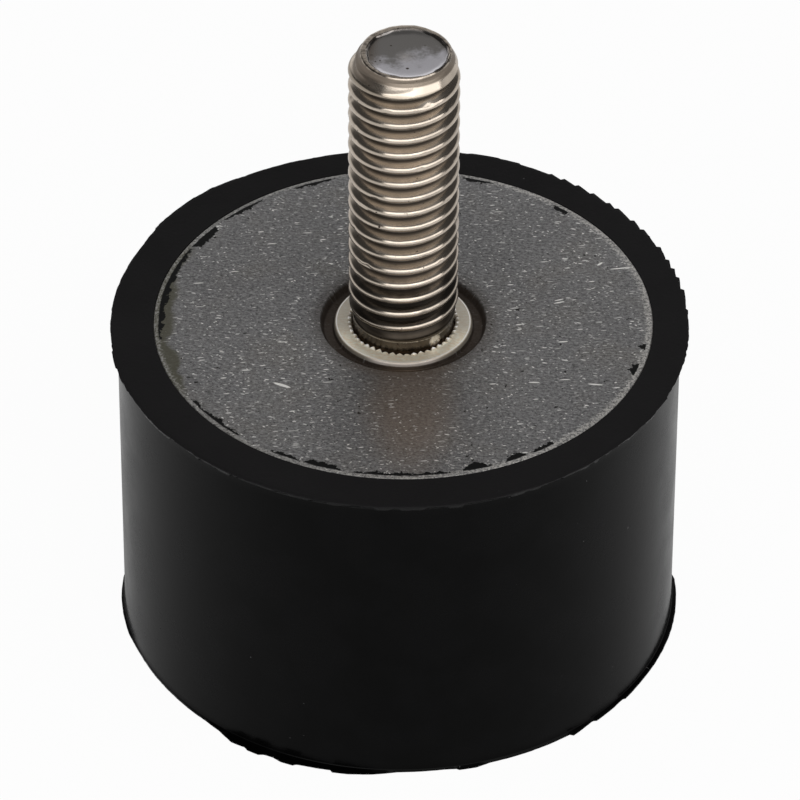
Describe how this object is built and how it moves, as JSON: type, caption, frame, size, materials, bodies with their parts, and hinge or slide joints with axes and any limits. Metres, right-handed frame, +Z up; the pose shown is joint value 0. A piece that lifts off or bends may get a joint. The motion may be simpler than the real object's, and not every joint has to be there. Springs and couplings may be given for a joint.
{
  "type": "cylindrical anti-vibration mount",
  "caption": "Cylindrical rubber vibration mount with a steel disc bonded in each end, a threaded stud on top and a tapped bush underneath.",
  "frame": {"origin": "centre of the rubber's underside, the face that the mount stands on", "axes": "+Z up along the cylinder and the stud; the top disc and stud are off the rubber's axis by 0.3 mm along +X and 0.15 mm along +Y"},
  "size_m": [0.0412, 0.0412, 0.0485],
  "materials": {
    "rubber": "matt black moulded rubber",
    "disc_steel": "dull grey phosphated steel, scuffed",
    "plated_steel": "bright nickel-toned plating"
  },
  "bodies": {
    "root": {"rubber_body": "rubber", "top_plate": "disc_steel", "bottom_plate": "disc_steel", "threaded_stud": "plated_steel", "threaded_bush": "plated_steel"}
  },
  "joints": []
}
